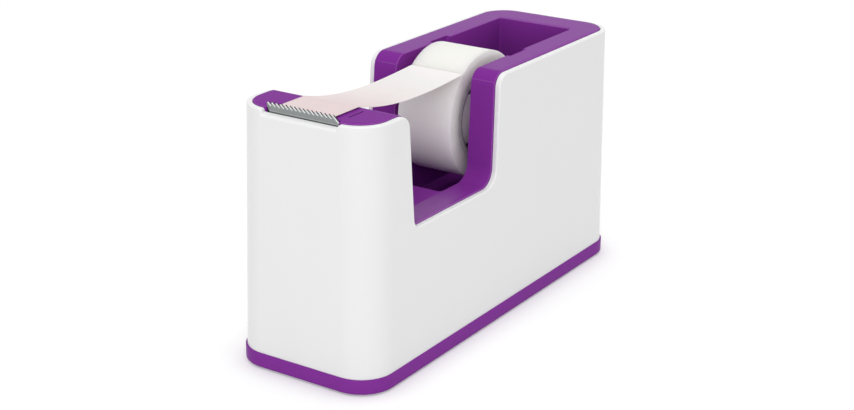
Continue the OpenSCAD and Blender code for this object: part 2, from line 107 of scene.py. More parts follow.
def dense(p, step):
    """The line p with each segment split evenly into parts no longer than step."""
    p = np.asarray(p, float)
    d = np.diff(p, axis=0)
    parts = np.maximum(1, np.ceil(np.linalg.norm(d, axis=1) / step - 1e-9)).astype(int)
    seg = np.repeat(np.arange(len(d)), parts)
    frac = (np.arange(parts.sum()) - np.repeat(np.cumsum(parts) - parts, parts)) / np.repeat(parts, parts)
    return np.vstack([p[seg] + d[seg] * frac[:, None], p[-1:]])


def length_along(p):
    """Distance along the line p at each of its points."""
    return np.concatenate([[0.0], np.cumsum(np.linalg.norm(np.diff(p, axis=0), axis=1))])


def left_normals(p):
    """Unit normals on the left of the line p: the mean of the two neighbouring directions, turned a quarter."""
    d = np.diff(p, axis=0)
    d = d / np.linalg.norm(d, axis=1)[:, None]
    t = np.vstack([d[:1], d[:-1] + d[1:], d[-1:]])
    t = t / np.linalg.norm(t, axis=1)[:, None]
    return np.column_stack([-t[:, 1], t[:, 0]])


def rounded_plan(w, l, r, lean_w=0.0, lean_l=0.0, foot=0.0, keep=SIDE_KEEP):
    """Right half of a drafted rounded rectangle as a function of s, z and inset.

    s runs from the middle of the front edge round both corners to the middle of the rear edge, measured at the
    foot. Each corner keeps its radius, and the sides keep their own y while it is within +-keep.
    """
    flat, corner, side = w / 2 - r, r * np.pi / 2, l - 2 * r
    total = 2 * flat + 2 * corner + side

    def at(s, z, inset):
        """Points at s and z, inset from the outline."""
        s, z = np.broadcast_arrays(np.asarray(s, float), np.asarray(z, float))
        hw, hl = w / 2 - (z - foot) * lean_w - r, l / 2 - (z - foot) * lean_l - r
        front = np.clip(s / flat, 0, 1)
        rear = np.clip((s - total + flat) / flat, 0, 1)
        a1 = np.clip((s - flat) / corner, 0, 1) * np.pi / 2
        a2 = np.clip((s - flat - corner - side) / corner, 0, 1) * np.pi / 2
        y0 = np.clip(s - flat - corner, 0, side) - side / 2
        far = np.maximum(np.abs(y0) - keep, 0) / (side / 2 - keep)
        ys = np.sign(y0) * (np.minimum(np.abs(y0), keep) + far * (hl - keep))
        x = hw * (front - rear) + (r - inset) * (np.sin(a1) + np.cos(a2) - 1)
        y = ys - (r - inset) * np.cos(a1) + (r - inset) * np.sin(a2)
        return np.stack([x, y, z], axis=-1)

    at.flat, at.corner, at.side, at.total = flat, corner, side, total
    at.beside = lambda y: y + flat + corner + side / 2
    return at


body_plan = rounded_plan(SHELL_W, SHELL_L, SHELL_R, LEAN_W, LEAN_L, SHELL_FOOT)
base_plan = rounded_plan(BASE_W, BASE_L, BASE_R)


def notch_arcs(grow, top):
    """The four arcs of the body's U-shaped top line in the y-z plane, grown outwards from the liner's line."""
    low = NOTCH_FLOOR + grow
    tower = lambda z: TOWER_FOOT_Y - (z - NOTCH_FLOOR) * np.tan(TOWER_SLANT) + grow / np.cos(TOWER_SLANT)
    lip = lambda z: LIP_FOOT_Y + (z - NOTCH_FLOOR) * np.tan(LIP_SLANT) - grow / np.cos(LIP_SLANT)
    a, b, c, e = (tower(top), top), (tower(low), low), (lip(low), low), (lip(top), top)
    return [arc((-SHELL_L, top), a, b, TOWER_TOP_R + grow, 14), arc(a, b, c, TOWER_FOOT_R - grow, 10),
            arc(b, c, e, LIP_FOOT_R - grow, 12), arc(c, e, (SHELL_L, top), LIP_TOP_R + grow, 14)]


def mirrored(patch):
    """A patch of the right half reflected in x = 0."""
    return patch * np.array([-1.0, 1.0, 1.0])


def lerp(a, b, t):
    """Rows of points from a to b at the fractions t."""
    t = np.asarray(t, float).reshape((-1,) + (1,) * max(np.ndim(a), np.ndim(b)))
    return a + (b - a) * t


def grid_mesh(name, patches):
    """One mesh from grids of points in millimetres, each grid a sheet of quads."""
    verts, faces, base = [], [], 0
    for grid in patches:
        m, n = grid.shape[:2]
        k = base + np.arange(m * n).reshape(m, n)
        verts.append(grid.reshape(-1, 3))
        faces.append(np.stack([k[:-1, :-1], k[1:, :-1], k[1:, 1:], k[:-1, 1:]], axis=-1).reshape(-1, 4))
        base += m * n
    mesh = bpy.data.meshes.new(name)
    mesh.from_pydata((np.concatenate(verts) * MM).tolist(), [], np.concatenate(faces).tolist())
    return mesh


def make_piece(name, patches, material, slot, body, sharp=32.0, **masks):
    """One object from grids of points; touching grids are welded and the faces turned outwards.

    Each further keyword gives every grid a 0 to 1 mask, kept as the vertex attribute of that name.
    """
    mesh = grid_mesh(name, patches)
    for label, values in masks.items():
        spread = [np.broadcast_to(v, grid.shape[:2]).reshape(-1) for v, grid in zip(values, patches)]
        layer = mesh.attributes.new(label, "FLOAT", "POINT")
        layer.data.foreach_set("value", np.concatenate(spread).astype(np.float32))
    weld(mesh)
    obj = finish_piece(bpy.data.objects.new(name, mesh), material, body, sharp)
    return obj


def weld(mesh):
    """Merges doubles and turns the closed mesh's faces outwards."""
    bm = bmesh.new()
    bm.from_mesh(mesh)
    bmesh.ops.remove_doubles(bm, verts=bm.verts, dist=4e-6)
    bmesh.ops.recalc_face_normals(bm, faces=bm.faces)
    bm.to_mesh(mesh)
    bm.free()


def finish_piece(obj, material, body, sharp=32.0):
    """Smooth shading up to the sharp angle, a material and the body that the piece rides on."""
    mesh = obj.data
    mesh.polygons.foreach_set("use_smooth", np.ones(len(mesh.polygons), bool))
    mesh.set_sharp_from_angle(angle=np.radians(sharp))
    mesh.materials.clear()
    mesh.materials.append(material)
    if obj.name not in bpy.context.scene.collection.objects:
        bpy.context.scene.collection.objects.link(obj)
    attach(obj, body)
    return obj


def plate(ring):
    """Rows from a half ring in to a spine on x = 0, which stops short of the ring's ends."""
    spine = ring * [0, 1, 1]
    spine[:, 1] = np.clip(ring[:, 1], -SPINE_Y, SPINE_Y)
    return lerp(ring, spine, np.linspace(0, 1, 4))


def lathe(profile, steps=144):
    """A profile of (x, radius) points turned about the reel's axis, as one closed grid."""
    profile = np.asarray(profile, float)
    a = np.linspace(0, 2 * np.pi, steps + 1)
    x = np.repeat(profile[:, :1], steps + 1, axis=1)
    return np.stack([x, REEL_Y + profile[:, 1:] * np.sin(a), REEL_Z + profile[:, 1:] * np.cos(a)], axis=-1)


def softened(corners, r):
    """A closed polygon with every corner rounded to radius r."""
    p = np.asarray(corners, float)
    out = np.vstack([arc(p[i - 1], p[i], p[(i + 1) % len(p)], r, 5) for i in range(len(p))])
    return np.vstack([out, out[:1]])


def linear(r, g, b):
    """A display colour of 0 to 255 as linear light."""
    c = np.array([r, g, b]) / 255
    return tuple(np.where(c <= 0.04045, c / 12.92, ((c + 0.055) / 1.055) ** 2.4)) + (1.0,)


def add(nodes, kind, *values, **named):
    """A new node with its settings and inputs.

    Inputs are numbers, colours or other nodes' sockets, given in order or, after the settings, by name.
    """
    node = nodes.new(kind)

    def feed(socket, value):
        """Links or sets one input."""
        if isinstance(value, bpy.types.NodeSocket):
            node.id_data.links.new(value, socket)
        else:
            socket.default_value = value

    for key, value in named.items():
        label = key.replace("_", " ")
        if label in node.inputs:
            feed(node.inputs[label], value)
        else:
            setattr(node, key, value)
    for socket, value in zip(node.inputs, values):
        feed(socket, value)
    return node


def own_place(nodes):
    """Place on the object, in its own coordinates."""
    return nodes.new("ShaderNodeTexCoord").outputs["Object"]


def attribute(nodes, name):
    """Value of a mesh attribute."""
    return add(nodes, "ShaderNodeAttribute", attribute_name=name, attribute_type="GEOMETRY").outputs["Fac"]


def noise(nodes, **named):
    """Noise of 0 to 1."""
    return add(nodes, "ShaderNodeTexNoise", **named).outputs["Fac"]


def calc(nodes, operation, *values):
    """Result of a math node."""
    return add(nodes, "ShaderNodeMath", *values, operation=operation).outputs[0]


def ranged(nodes, value, **limits):
    """The value moved from its own range to another and kept inside it; both are 0 to 1 where nothing is given."""
    return add(nodes, "ShaderNodeMapRange", Value=value, **limits).outputs["Result"]


def mixed(nodes, factor, a, b, blend="MIX"):
    """Colour a with b mixed in, or a times b, by the factor."""
    mix = add(nodes, "ShaderNodeMix", data_type="RGBA", blend_type=blend, Factor=factor, A=a, B=b)
    return mix.outputs["Result"]


def bumped(nodes, height, strength, distance):
    """Normal of the surface raised by the height."""
    return add(nodes, "ShaderNodeBump", Strength=strength, Distance=distance, Height=height).outputs["Normal"]


def new_group(name, inputs, outputs):
    """An empty shader node group with named sockets, and its input and output nodes."""
    group = bpy.data.node_groups.new(name, "ShaderNodeTree")
    for label, kind, value in inputs:
        socket = group.interface.new_socket(label, in_out="INPUT", socket_type="NodeSocket" + kind)
        socket.default_value = value
    for label, kind in outputs:
        group.interface.new_socket(label, in_out="OUTPUT", socket_type="NodeSocket" + kind)
    return group, group.nodes.new("NodeGroupInput"), group.nodes.new("NodeGroupOutput")


def moulded_finish_and_painted_light_group():
    """Moulded plastic: cloudy tint and gloss from slow noise, grain from fine noise, painted light on marked edges.

    The colour is multiplied by 1 + Mottle * (cloud - 0.5). It is turned in patches to the second colour by the
    attribute
    "edge" times the amount: lighter as a painted highlight on some materials, darker as painted shade on others.
    """
    group, given, out = new_group(
        "moulded_finish_and_painted_light",
        [("Colour", "Color", (0.5, 0.5, 0.5, 1)), ("Worn Colour", "Color", (0.8, 0.8, 0.8, 1)),
         ("Roughness", "Float", 0.3), ("Mottle", "Float", 0.05), ("Wear", "Float", 0.2),
         ("Grain Size", "Float", 900.0), ("Grain Depth", "Float", 0.05)],
        [("Colour", "Color"), ("Roughness", "Float"), ("Normal", "Vector")])
    n, link, asked = group.nodes, group.links.new, given.outputs
    place = own_place(n)
    cloud = noise(n, Vector=place, Scale=55.0, Detail=3.0, Roughness=0.6)
    grain = noise(n, Vector=place, Scale=asked["Grain Size"], Detail=2.0, Roughness=0.55)
    patch_noise = noise(n, Vector=place, Scale=420.0, Detail=4.0, Roughness=0.7)
    centred = calc(n, "SUBTRACT", cloud, 0.5)
    shade = calc(n, "MULTIPLY_ADD", centred, asked["Mottle"], 1.0)
    tinted = mixed(n, 1.0, asked["Colour"], shade, "MULTIPLY")
    patchy = ranged(n, patch_noise, From_Min=0.35, From_Max=0.7, To_Min=0.85)
    # Painted light: marked edges turn to the second colour, a painted highlight on some materials and painted shade
    # on others
    painted_light = calc(n, "MULTIPLY", calc(n, "MULTIPLY", attribute(n, "edge"), patchy), asked["Wear"])
    gloss = calc(n, "MULTIPLY_ADD", centred, 0.12, asked["Roughness"])
    link(mixed(n, painted_light, tinted, asked["Worn Colour"]), out.inputs["Colour"])
    link(calc(n, "MULTIPLY_ADD", painted_light, 0.3, gloss), out.inputs["Roughness"])
    link(bumped(n, grain, asked["Grain Depth"], 0.0001), out.inputs["Normal"])
    return group


moulded_finish_and_painted_light = moulded_finish_and_painted_light_group()


def new_material(name, **shader):
    """A material with a Principled shader whose constants are set on its own sockets."""
    mat = bpy.data.materials.new(name)
    mat.use_nodes = True
    bsdf = mat.node_tree.nodes["Principled BSDF"]
    for key, value in shader.items():
        bsdf.inputs[key].default_value = value
    return mat, mat.node_tree.nodes, mat.node_tree.links.new, bsdf


def moulded(name, colour, painted_light, roughness, mottle, paint, size, depth, **shader):
    """Moulded plastic in one colour, with painted light on marked edges, from the shared group."""
    mat, n, link, bsdf = new_material(name, **shader)
    finish = add(n, "ShaderNodeGroup", node_tree=moulded_finish_and_painted_light, Colour=colour, Worn_Colour=painted_light,
                 Roughness=roughness, Mottle=mottle, Wear=paint, Grain_Size=size, Grain_Depth=depth)
    link(finish.outputs["Colour"], bsdf.inputs["Base Color"])
    link(finish.outputs["Roughness"], bsdf.inputs["Roughness"])
    link(finish.outputs["Normal"], bsdf.inputs["Normal"])
    return mat


def tone_ramp(nodes, value, tones, kind="LINEAR"):
    """Colour for a value of 0 to 1, from a ramp with a stop for each (position, colour)."""
    ramp = add(nodes, "ShaderNodeValToRGB", value)
    ramp.color_ramp.interpolation = kind
    stops = ramp.color_ramp.elements
    for k, (at, tone) in enumerate(tones):
        stop = stops[k] if k < 2 else stops.new(at)
        stop.position, stop.color = at, tone
    return ramp.outputs["Color"]


translucent = {"Subsurface Weight": 0.9, "Subsurface Scale": 0.009, "Subsurface Radius": (1.0, 0.95, 0.95)}


def wound_tape(name, colour, line, roughness):
    """Side of a wound roll: thin rings from noise in the distance to the reel's axis, over the film colour."""
    mat, n, link, bsdf = new_material(name, **translucent, Roughness=roughness)
    centre = add(n, "ShaderNodeVectorMath", own_place(n), (0, REEL_Y * MM, REEL_Z * MM), operation="SUBTRACT")
    flat = add(n, "ShaderNodeVectorMath", centre.outputs["Vector"], (0, 1, 1), operation="MULTIPLY")
    reach = add(n, "ShaderNodeVectorMath", flat.outputs["Vector"], operation="LENGTH")
    turns = noise(n, noise_dimensions="1D", W=reach.outputs["Value"], Scale=3200.0, Detail=2.0, Roughness=0.7)
    dark = ranged(n, turns, From_Min=0.5, From_Max=0.8)
    link(mixed(n, dark, colour, line), bsdf.inputs["Base Color"])
    link(bumped(n, turns, 0.25, 0.0001), bsdf.inputs["Normal"])
    return mat


def free_film(name, tones, roughness):
    """Free tape: tones along the attribute "edge", from the roll's own to a painted see-through pink of the plastic
    under it.
    """
    mat, n, link, bsdf = new_material(name, Roughness=roughness)
    cloud = noise(n, Vector=own_place(n), Scale=160.0, Detail=3.0, Roughness=0.6)
    shade = ranged(n, cloud, To_Min=0.97, To_Max=1.03)
    link(mixed(n, 1.0, tone_ramp(n, attribute(n, "edge"), tones), shade, "MULTIPLY"), bsdf.inputs["Base Color"])
    link(bumped(n, cloud, 0.05, 0.0002), bsdf.inputs["Normal"])
    return mat


def facet_shaded_steel(name, tones, roughness):
    """Bright steel: a tone of painted light for each kind of face, from a face attribute, brushed along x by long
    noise.
    """
    mat, n, link, bsdf = new_material(name, Metallic=1.0)
    tone = tone_ramp(n, ranged(n, attribute(n, "facet_shading"), From_Min=-0.5), tones, "CONSTANT")
    along = add(n, "ShaderNodeMapping", Vector=own_place(n), Scale=(120.0, 2500.0, 2500.0))
    brush = noise(n, Vector=along.outputs["Vector"], Scale=1.0, Detail=3.0, Roughness=0.65)
    shade = ranged(n, brush, To_Min=0.85, To_Max=1.12)
    link(mixed(n, 1.0, tone, shade, "MULTIPLY"), bsdf.inputs["Base Color"])
    link(ranged(n, brush, To_Min=roughness - 0.08, To_Max=roughness + 0.08), bsdf.inputs["Roughness"])
    return mat


def polished(mat, roughness):
    """A clear coat where the attribute "polish" asks for it."""
    n = mat.node_tree.nodes
    mat.node_tree.links.new(attribute(n, "polish"), n["Principled BSDF"].inputs["Coat Weight"])
    n["Principled BSDF"].inputs["Coat Roughness"].default_value = roughness


satin = {"Specular IOR Level": 0.012}
# gloss_white's second colour is a painted highlight: the sleeve's rim is painted lighter
gloss_white = moulded("gloss_white", linear(233, 233, 233), linear(246, 246, 246), 0.16,
                      mottle=0.02, paint=0.4, size=1400.0, depth=0.02)
# satin_purple's second colour is a painted highlight: light lines on the liner's rounded edges and on the lip's
# crease
satin_purple = moulded("satin_purple", linear(128, 48, 148), linear(168, 105, 185), 0.36,
                       mottle=0.06, paint=0.5, size=1500.0, depth=0.1, **satin)
polished(satin_purple, 0.2)
# rib_purple's second colour is painted shade: the ribs' end balls are painted dark
rib_purple = moulded("rib_purple", linear(128, 48, 148), linear(30, 4, 40), 0.45,
                     mottle=0.06, paint=1.0, size=1500.0, depth=0.1, **satin)
# pad_grey, ballast_steel and screw_zinc go on meshes without the edge mask, so their second colour never shows
pad_grey = moulded("pad_grey", linear(70, 70, 74), linear(90, 90, 94), 0.85,
                   mottle=0.25, paint=0.3, size=500.0, depth=0.6)
# hub_grey's second colour is painted shade: a dark line on the drum, in the gap between hub and core
hub_grey = moulded("hub_grey", linear(238, 233, 231), linear(60, 56, 58), 0.4,
                   mottle=0.05, paint=1.0, size=1200.0, depth=0.08, **translucent)
# core_white's second colour is painted shade: a dark line at the bore, in the gap round the hub
core_white = moulded("core_white", linear(251, 244, 239), linear(90, 82, 86), 0.4,
                     mottle=0.04, paint=1.0, size=1200.0, depth=0.08, **translucent)
film_white = wound_tape("film_white", linear(254, 247, 236), linear(243, 231, 219), 0.5)
# tail_film's tones are painted light: pink towards the tower, where the purple under the tape shows through
tail_film = free_film("tail_film", [(0.0, linear(246, 241, 242)), (0.22, linear(239, 237, 235)),
                                    (0.55, linear(237, 228, 227)), (1.0, linear(228, 208, 208))], 0.45)
# bare_steel's tones are painted light: a bright highlight on the flanks, dark shade on the heels, steep sides and
# foot
bare_steel = facet_shaded_steel("bare_steel", [(0.0, linear(40, 35, 36)), (0.28, linear(142, 146, 146)),
                                         (0.45, linear(104, 107, 107)), (0.63, linear(158, 162, 162)),
                                         (0.98, linear(224, 226, 226))], 0.28)
ballast_steel = moulded("ballast_steel", linear(120, 118, 116), linear(150, 148, 146), 0.55,
                        mottle=0.3, paint=0.3, size=300.0, depth=0.3, Metallic=1.0)
screw_zinc = moulded("screw_zinc", linear(185, 186, 188), linear(215, 216, 218), 0.35,
                     mottle=0.15, paint=0.3, size=600.0, depth=0.1, Metallic=1.0)


def lay(points, foot_from, foot_to, step=1.0):
    """Part of a top line with the place at the foot that each of its points is ruled to, even along the part."""
    p = dense(points, step)
    t = length_along(p)
    return p, foot_from + (foot_to - foot_from) * t / t[-1]


def chain(parts):
    """Top line parts joined end to end, without the doubled joints."""
    line = np.vstack([p[:-1] for p, _ in parts[:-1]] + [parts[-1][0]])
    foot = np.concatenate([f[:-1] for _, f in parts[:-1]] + [parts[-1][1]])
    return line, foot


def body_top_parts(arcs, top, first_point, first_foot):
    """Top line of the right half from the front to the rear, as parts in s and z with their feet.

    The steep faces of the notch are fanned out towards the foot, so that the ruled lines stay inside the wall.
    """
    beside = body_plan.beside
    side = [np.column_stack([beside(a[:, 0]), a[:, 1]]) for a in arcs]
    feet = beside(np.array(FAN_Y))
    rear = beside(body_plan.side / 2)
    between = lambda a, b: np.vstack([a[-1:], b[:1]])
    return [
        lay(np.vstack([first_point, side[0][:1]]), first_foot, feet[0]),
        lay(side[0], feet[0], feet[1]), lay(between(side[0], side[1]), feet[1], feet[2], 2.0),
        lay(side[1], feet[2], feet[3]), lay(between(side[1], side[2]), feet[3], feet[4], 2.0),
        lay(side[2], feet[4], feet[5]), lay(between(side[2], side[3]), feet[5], feet[6], 2.0),
        lay(side[3], feet[6], feet[7]),
        lay(np.vstack([side[3][-1:], [[rear, top]]]), feet[7], rear, 2.0),
        lay([[rear, top], [body_plan.total, top]], rear, body_plan.total)]


def shell_grid():
    """Wall of the sleeve: a closed profile carried along the notched top line and ruled down to the foot.

    The profile goes up the outer face, over the rounded rim and down the inner face, SHELL_WALL inside. In front of
    the blade the line drops between two sides that flare by WINDOW_FLARE to a sill, which climbs by SILL_RISE from
    the outer face to the inner one.
    """
    edge = WINDOW_HALF * body_plan.flat / (body_plan.flat - (SILL_FRONT - SHELL_FOOT) * LEAN_W)
    low, high = (edge, SILL_FRONT), (edge + WINDOW_FLARE, SHELL_TOP)
    inner = arc((0, SILL_FRONT), low, high, WINDOW_FOOT_R, 8)
    outer = arc(low, high, (SHELL_W, SHELL_TOP), WINDOW_TOP_R, 8)
    feet = edge + np.array(WINDOW_FAN)
    window = [lay(np.vstack([[[0, SILL_FRONT]], inner[:1]]), 0, feet[0]), lay(inner, feet[0], feet[1]),
              lay(np.vstack([inner[-1:], outer[:1]]), feet[1], feet[2]), lay(outer, feet[2], feet[3])]
    notch = notch_arcs(-LINER_PROUD, SHELL_TOP)
    line, foot = chain(window + body_top_parts(notch, SHELL_TOP, outer[-1:], feet[3]))
    normal = left_normals(line)
    rise = SILL_RISE * (SHELL_TOP - line[:, 1]) / (SHELL_TOP - SILL_FRONT) * (line[:, 0] < feet[3])
    bend = np.radians(np.linspace(0, 90, 8))
    quarter = lambda r: (r * (1 - np.sin(bend))[:, None], r * (1 - np.cos(bend))[:, None])
    (drop_out, in_out), (drop_in, in_in) = quarter(RIM_OUT), quarter(RIM_IN)

    def rim(drop, inset):
        """Points of the rim, drop below the line along its own normal."""
        z = line[:, 1] - drop * normal[:, 1] + rise * inset / SHELL_WALL
        return body_plan(line[:, 0] - drop * normal[:, 0], z, inset)

    def face(start, inset):
        """Rows from the foot up to where the rim begins."""
        rows = np.array([0, 0.15, 0.35, 0.55, 0.75, 0.9, 0.985, 1.0])
        s = lerp(foot, line[:, 0] - start * normal[:, 0], rows)
        end_z = line[:, 1] - start * normal[:, 1] + rise * inset / SHELL_WALL
        z = lerp(np.full(len(foot), SHELL_FOOT), end_z, rows)
        return body_plan(s, z, inset)

    outside, inside = face(RIM_OUT, 0.0), face(RIM_IN, SHELL_WALL)[::-1]
    half = np.concatenate([outside, rim(drop_out, in_out)[1:], rim(drop_in[::-1], SHELL_WALL - in_in[::-1]),
                           inside[1:], outside[:1]])
    # Mask for the painted highlight: 1 on the rim rows, which gloss_white paints lighter
    soft = np.concatenate([np.zeros(len(outside)), np.ones(2 * len(bend) - 2), np.zeros(len(inside) + 1)])
    return [half, mirrored(half)], [soft[:, None]] * 2


shell_patches, shell_rim_highlight = shell_grid()
outer_shell = make_piece("outer_shell_moulding", shell_patches, gloss_white, "white_gloss", "housing",
                         edge=shell_rim_highlight)
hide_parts("outer_shell")


def liner_grids():
    """Liner: one sheet along the U-shaped top line with the well cut out of it, closed below by its walls.

    The sheet is a grid in u, along the line, and x. Its rows bend round the well's corners, every edge is a quarter
    turn towards the line's own normal, and the walls are ruled down to the well floor and to the skirt.
    """
    arcs = notch_arcs(0.0, LINER_TOP)
    start = np.array([[-SHELL_L / 2 - 5, LINER_TOP]])
    end = np.array([[SHELL_L / 2 + 5, LINER_TOP]])

    # Thin raised line on the lip: one step of its arc, lifted in the middle
    up = arcs[3][4] - arcs[3][3]
    out = np.array([-up[1], up[0]]) / np.hypot(*up)
    crease = arcs[3][3] + np.outer([0.0, 0.35, 0.75, 1.0], up) + np.outer([0, CREASE_RISE, CREASE_RISE, 0], out)
    line = dense(np.vstack([start] + arcs[:3] + [arcs[3][:3], crease, arcs[3][5:], end]), 1.2)
    u_line, normal = length_along(line), left_normals(line)

    def near(points):
        """Place along the line of its point nearest to each given one."""
        return u_line[np.argmin(np.linalg.norm(line - np.asarray(points)[..., None, :], axis=-1), axis=-1)]

    # Places along the line: behind the front corners, the well's front and rear, and where the rows begin to bend
    keep_u = -SIDE_KEEP - start[0, 0]
    hole_u = near(arcs[1][-1]) + WELL_FRONT_Y - arcs[1][-1, 0]
    rear_u = near(arcs[3][-1]) + POCKET_REAR_Y - arcs[3][-1, 0]
    bend_u = hole_u - BEND_RUN

    def place(u, x, depth=0.0):
        """Point of the sheet at u and x, sunk below it by depth."""
        y, z, ny, nz = (np.interp(u, u_line, c) for c in (line[:, 0], line[:, 1], normal[:, 0], normal[:, 1]))
        size = np.hypot(ny, nz)
        return np.stack(np.broadcast_arrays(x, y - depth * ny / size, z - depth * nz / size), axis=-1)

    # Columns: up to the well's edge with its corner, then fractions of the way from there to the outer edge
    soft, pocket = LINER_SOFT, POCKET_SOFT
    turn = np.radians(np.linspace(0, 90, 9))
    straight = np.linspace(0, POCKET_HALF - POCKET_R, 9)
    x_in = np.concatenate([straight, POCKET_HALF - POCKET_R + (POCKET_R + pocket) * np.sin(turn[1:])])
    across = np.concatenate([[0.012], np.linspace(0, 1, 6)[1:]])
    bow = POCKET_R - (POCKET_R + pocket) * np.cos(np.concatenate([np.zeros(len(straight) - 1), turn]))

    def edge_x(u):
        """Outer edge of the sheet at u, on the drafted wall."""
        z = np.interp(u, u_line, line[:, 1])
        return SHELL_W / 2 - (z - SHELL_FOOT) * LEAN_W - LINER_INSET - soft

    def straight_rows(u, inner=True):
        """Rows straight across the sheet at each u, whole or beside the well only."""
        u = np.asarray(u, float)
        outer = x_in[-1] + (edge_x(u)[:, None] - x_in[-1]) * across
        lead = np.broadcast_to(x_in if inner else x_in[-1:], (len(u), len(x_in) if inner else 1))
        x = np.concatenate([lead, outer], axis=1)
        return place(np.repeat(u[:, None], x.shape[1], axis=1), x)

    # Front end: from the rounded front edge, its corner shared by both kinds of column, to a straight row behind it
    share = 0.3
    end_s = np.concatenate([np.linspace(0, 1, len(x_in)) * (body_plan.flat + share * body_plan.corner),
                            body_plan.flat + body_plan.corner * (share + (1 - share) * across)])
    front_edge = body_plan(end_s, LINER_TOP, LINER_INSET + soft)
    front = lerp(front_edge, straight_rows([keep_u])[0], np.linspace(0, 1, 7))
    inside = u_line[(u_line > keep_u + 0.05) & (u_line < bend_u - 0.5)]
    middle = straight_rows(np.concatenate([[keep_u], inside, [bend_u]]))

    # Rows that bend round the well's front corners, then rows beside the well
    t = np.linspace(0, 1, 7)
    bent_side = np.repeat(lerp(bend_u, hole_u + POCKET_R, t)[:, None], len(across), axis=1)
    bent_u = np.concatenate([lerp(bend_u, hole_u + bow, t), bent_side], axis=1)
    flat_x = np.concatenate([x_in, x_in[-1] + (edge_x(hole_u) - x_in[-1]) * across])
    bent = place(bent_u, np.broadcast_to(flat_x, bent_u.shape))
    u_side = np.concatenate([[hole_u + POCKET_R],
                             u_line[(u_line > hole_u + POCKET_R + 0.3) & (u_line < rear_u - POCKET_R - 0.3)],
                             [rear_u - POCKET_R]])
    beside = straight_rows(u_side, inner=False)

    # Rear end: from the well's rear corners to the rounded rear edge
    rear_x = np.concatenate([x_in, x_in[-1] + (edge_x(rear_u) - x_in[-1]) * across])
    rear_row = place(np.concatenate([rear_u - bow, np.full(len(across), rear_u - POCKET_R)]), rear_x)
    rear_edge = body_plan(body_plan.total - end_s, LINER_TOP, LINER_INSET + soft)
    rear = lerp(rear_row, rear_edge, np.linspace(0, 1, 7))
    sheet = [front, middle, bent, beside, rear]

    # Outer edge: the sheet's boundary as one line in s and z, rounded over and ruled down to the skirt
    side_pts = np.concatenate([g[:, -1] for g in (front, middle[1:], bent[1:], beside[1:], rear[1:])])
    end_y = SHELL_L / 2 - SHELL_R - (LINER_TOP - SHELL_FOOT) * LEAN_L
    stretch = (body_plan.side / 2 - SIDE_KEEP) / (end_y - SIDE_KEEP)
    to_s = lambda y: body_plan.beside(np.sign(y) * np.where(
        np.abs(y) > SIDE_KEEP, SIDE_KEEP + (np.abs(y) - SIDE_KEEP) * stretch, np.abs(y)))
    rim = np.vstack([np.column_stack([end_s, np.full(len(end_s), LINER_TOP)])[:-1],
                     np.column_stack([to_s(side_pts[:, 1]), side_pts[:, 2]]),
                     np.column_stack([body_plan.total - end_s, np.full(len(end_s), LINER_TOP)])[::-1][1:]])
    rim_n = left_normals(rim)
    roll = np.radians(np.linspace(0, 90, 5))
    depth, out = soft * (1 - np.cos(roll)), soft * np.sin(roll)
    outer_edge = body_plan(rim[:, 0] - depth[:, None] * rim_n[:, 0], rim[:, 1] - depth[:, None] * rim_n[:, 1],
                           LINER_INSET + soft - out[:, None])
    at_knots = near(np.vstack([a[[0, -1]] for a in arcs]))
    side_u = near(side_pts[:, 1:])
    fan = np.interp(side_u, np.concatenate([side_u[:1], at_knots, side_u[-1:]]),
                    np.concatenate([[-body_plan.side / 2], FAN_Y, [body_plan.side / 2]]))
    foot_s = np.concatenate([end_s[:-1], body_plan.beside(fan), (body_plan.total - end_s)[::-1][1:]])
    rows = np.linspace(0, 1, 5)
    skirt_s = lerp(rim[:, 0] - soft * rim_n[:, 0], foot_s, rows)
    skirt_z = lerp(rim[:, 1] - soft * rim_n[:, 1], np.full(len(rim), LINER_SKIRT), rows)
    skirt = body_plan(skirt_s, skirt_z, LINER_INSET)
    bottom = plate(skirt[-1])

    # Well: rounded edge, walls and floor
    corner = turn[1:]
    ends = np.ones(len(straight))

    def loop(o, depth=0.0):
        """Well's edge line, grown outwards by o and sunk below the sheet by depth: places along u, and points."""
        turned, reach = (POCKET_R + o) * np.cos(corner), POCKET_HALF - POCKET_R + (POCKET_R + o) * np.sin(corner)
        u = np.concatenate([ends * (hole_u - o), hole_u + POCKET_R - turned, u_side[1:-1],
                            (rear_u - POCKET_R + turned)[::-1], ends * (rear_u + o)])
        x = np.concatenate([straight, reach, np.full(len(u_side) - 2, POCKET_HALF + o), reach[::-1],
                            straight[::-1]])
        return u, place(u, x, depth)

    well_edge = np.stack([loop(o, d)[1] for o, d in zip(pocket * (1 - np.sin(roll)), pocket * (1 - np.cos(roll)))])
    top_loop = well_edge[-1]
    well_u = loop(0.0)[0]
    well_fan = np.interp(well_u, np.concatenate([[hole_u + POCKET_R], at_knots[4:], [rear_u - POCKET_R]]),
                         np.concatenate([[WELL_FRONT_Y + POCKET_R], WELL_FAN_Y, [POCKET_REAR_Y - POCKET_R]]))
    wall_foot = np.column_stack([top_loop[:, 0], top_loop[:, 1], np.full(len(top_loop), WELL_FLOOR)])
    beside_well = (well_u > hole_u + POCKET_R) & (well_u < rear_u - POCKET_R)
    wall_foot[beside_well, 1] = well_fan[beside_well]
    wall = lerp(top_loop, wall_foot, np.linspace(0, 1, 6))
    keel = wall_foot * [0, 1, 1]
    keel[:, 1] = np.clip(wall_foot[:, 1], WELL_FRONT_Y + WELL_SPINE, POCKET_REAR_Y - WELL_SPINE)
    floor = lerp(wall_foot, keel, np.linspace(0, 1, 4))

    half = sheet + [outer_edge, skirt, bottom, well_edge, wall, floor]
